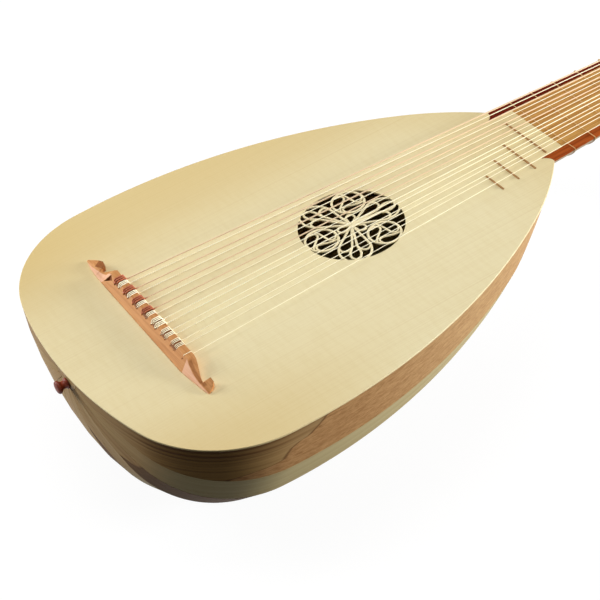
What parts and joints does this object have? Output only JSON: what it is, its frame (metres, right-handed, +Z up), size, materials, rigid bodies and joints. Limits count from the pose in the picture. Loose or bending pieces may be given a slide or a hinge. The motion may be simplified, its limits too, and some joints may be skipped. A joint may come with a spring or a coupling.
{
  "type": "renaissance lute",
  "caption": "Round-backed plucked lute with a carved rose, bent-back pegbox, tied gut frets, paired gut strings and turning pegs.",
  "frame": {"origin": "middle of the footprint, on the surface that the lute lies on with its bowl and the end of its pegbox", "axes": "+Y from the tail to the neck, +X to the treble side, +Z up"},
  "size_m": [0.3234, 0.744, 0.2044],
  "materials": {
    "spruce": "pale fine-grained spruce, satin varnish",
    "walnut": "brown walnut with pale sapwood at the tail, satin varnish",
    "maple": "pale greyish maple, satin varnish",
    "block_wood": "bare softwood",
    "neck_wood": "pale wood, satin varnish",
    "fingerboard_wood": "light brown wood, oiled",
    "edge_wood": "red-brown hardwood, oiled",
    "pear": "orange-brown pear wood, satin",
    "peg_wood": "dark red-brown hardwood, polished",
    "bone": "polished bone",
    "gut": "pale gut",
    "loaded_gut": "reddish-brown loaded gut"
  },
  "bodies": {
    "lute": {"soundboard": "spruce", "rib_1": "walnut", "rib_2": "maple", "rib_3": "walnut", "rib_4": "maple", "rib_5": "walnut", "rib_6": "maple", "rib_7": "walnut", "rib_8": "maple", "rib_9": "walnut", "rib_10": "maple", "rib_11": "walnut", "tail_block": "block_wood", "neck_block": "block_wood", "end_button": "peg_wood", "bridge": "pear", "neck": "neck_wood", "fingerboard": "fingerboard_wood", "edge_strip_treble": "edge_wood", "edge_strip_bass": "edge_wood", "nut": "bone", "string_1": "gut", "string_2a": "gut", "string_2b": "gut", "string_3a": "gut", "string_3b": "gut", "string_4a": "gut", "string_4b": "gut", "string_5a": "gut", "string_5b": "loaded_gut", "string_6a": "gut", "string_6b": "loaded_gut", "string_7a": "gut", "string_7b": "loaded_gut", "string_8a": "gut", "string_8b": "loaded_gut", "pegbox": "neck_wood"},
    "peg_1": {"peg_1": "peg_wood"},
    "peg_2": {"peg_2": "peg_wood"},
    "peg_3": {"peg_3": "peg_wood"},
    "peg_4": {"peg_4": "peg_wood"},
    "peg_5": {"peg_5": "peg_wood"},
    "peg_6": {"peg_6": "peg_wood"},
    "peg_7": {"peg_7": "peg_wood"},
    "peg_8": {"peg_8": "peg_wood"},
    "peg_9": {"peg_9": "peg_wood"},
    "peg_10": {"peg_10": "peg_wood"},
    "peg_11": {"peg_11": "peg_wood"},
    "peg_12": {"peg_12": "peg_wood"},
    "peg_13": {"peg_13": "peg_wood"},
    "peg_14": {"peg_14": "peg_wood"},
    "peg_15": {"peg_15": "peg_wood"},
    "tied_fret_1": {"tied_fret_1": "gut"},
    "tied_fret_2": {"tied_fret_2": "gut"},
    "tied_fret_3": {"tied_fret_3": "gut"},
    "tied_fret_4": {"tied_fret_4": "gut"},
    "tied_fret_5": {"tied_fret_5": "gut"},
    "tied_fret_6": {"tied_fret_6": "gut"},
    "tied_fret_7": {"tied_fret_7": "gut"},
    "tied_fret_8": {"tied_fret_8": "gut"}
  },
  "joints": [
    {"name": "peg_1_turn", "type": "hinge", "parent": "lute", "child": "peg_1", "pos_m": [0, 0.31867, 0.17235], "axis": [1, 0, 0], "continuous": true},
    {"name": "peg_2_turn", "type": "hinge", "parent": "lute", "child": "peg_2", "pos_m": [0, 0.32138, 0.16117], "axis": [1, 0, 0], "continuous": true},
    {"name": "peg_3_turn", "type": "hinge", "parent": "lute", "child": "peg_3", "pos_m": [0, 0.32408, 0.14999], "axis": [1, 0, 0], "continuous": true},
    {"name": "peg_4_turn", "type": "hinge", "parent": "lute", "child": "peg_4", "pos_m": [0, 0.32679, 0.13881], "axis": [1, 0, 0], "continuous": true},
    {"name": "peg_5_turn", "type": "hinge", "parent": "lute", "child": "peg_5", "pos_m": [0, 0.32949, 0.12764], "axis": [1, 0, 0], "continuous": true},
    {"name": "peg_6_turn", "type": "hinge", "parent": "lute", "child": "peg_6", "pos_m": [0, 0.3322, 0.11646], "axis": [1, 0, 0], "continuous": true},
    {"name": "peg_7_turn", "type": "hinge", "parent": "lute", "child": "peg_7", "pos_m": [0, 0.3349, 0.10528], "axis": [1, 0, 0], "continuous": true},
    {"name": "peg_8_turn", "type": "hinge", "parent": "lute", "child": "peg_8", "pos_m": [0, 0.33761, 0.09411], "axis": [1, 0, 0], "continuous": true},
    {"name": "peg_9_turn", "type": "hinge", "parent": "lute", "child": "peg_9", "pos_m": [0, 0.34031, 0.08293], "axis": [1, 0, 0], "continuous": true},
    {"name": "peg_10_turn", "type": "hinge", "parent": "lute", "child": "peg_10", "pos_m": [0, 0.34302, 0.07175], "axis": [1, 0, 0], "continuous": true},
    {"name": "peg_11_turn", "type": "hinge", "parent": "lute", "child": "peg_11", "pos_m": [0, 0.34572, 0.06057], "axis": [1, 0, 0], "continuous": true},
    {"name": "peg_12_turn", "type": "hinge", "parent": "lute", "child": "peg_12", "pos_m": [0, 0.34843, 0.0494], "axis": [1, 0, 0], "continuous": true},
    {"name": "peg_13_turn", "type": "hinge", "parent": "lute", "child": "peg_13", "pos_m": [0, 0.35113, 0.03822], "axis": [1, 0, 0], "continuous": true},
    {"name": "peg_14_turn", "type": "hinge", "parent": "lute", "child": "peg_14", "pos_m": [0, 0.35384, 0.02704], "axis": [1, 0, 0], "continuous": true},
    {"name": "peg_15_turn", "type": "hinge", "parent": "lute", "child": "peg_15", "pos_m": [0, 0.35655, 0.01587], "axis": [1, 0, 0], "continuous": true},
    {"name": "tied_fret_1_slide", "type": "slide", "parent": "lute", "child": "tied_fret_1", "axis": [0, 0.9952, 0.0977], "range_m": [-0.003, 0.003]},
    {"name": "tied_fret_2_slide", "type": "slide", "parent": "lute", "child": "tied_fret_2", "axis": [0, 0.9952, 0.0977], "range_m": [-0.003, 0.003]},
    {"name": "tied_fret_3_slide", "type": "slide", "parent": "lute", "child": "tied_fret_3", "axis": [0, 0.9952, 0.0977], "range_m": [-0.003, 0.003]},
    {"name": "tied_fret_4_slide", "type": "slide", "parent": "lute", "child": "tied_fret_4", "axis": [0, 0.9952, 0.0977], "range_m": [-0.003, 0.003]},
    {"name": "tied_fret_5_slide", "type": "slide", "parent": "lute", "child": "tied_fret_5", "axis": [0, 0.9952, 0.0977], "range_m": [-0.003, 0.003]},
    {"name": "tied_fret_6_slide", "type": "slide", "parent": "lute", "child": "tied_fret_6", "axis": [0, 0.9952, 0.0977], "range_m": [-0.003, 0.003]},
    {"name": "tied_fret_7_slide", "type": "slide", "parent": "lute", "child": "tied_fret_7", "axis": [0, 0.9952, 0.0977], "range_m": [-0.003, 0.003]},
    {"name": "tied_fret_8_slide", "type": "slide", "parent": "lute", "child": "tied_fret_8", "axis": [0, 0.9952, 0.0977], "range_m": [-0.003, 0.003]}
  ]
}
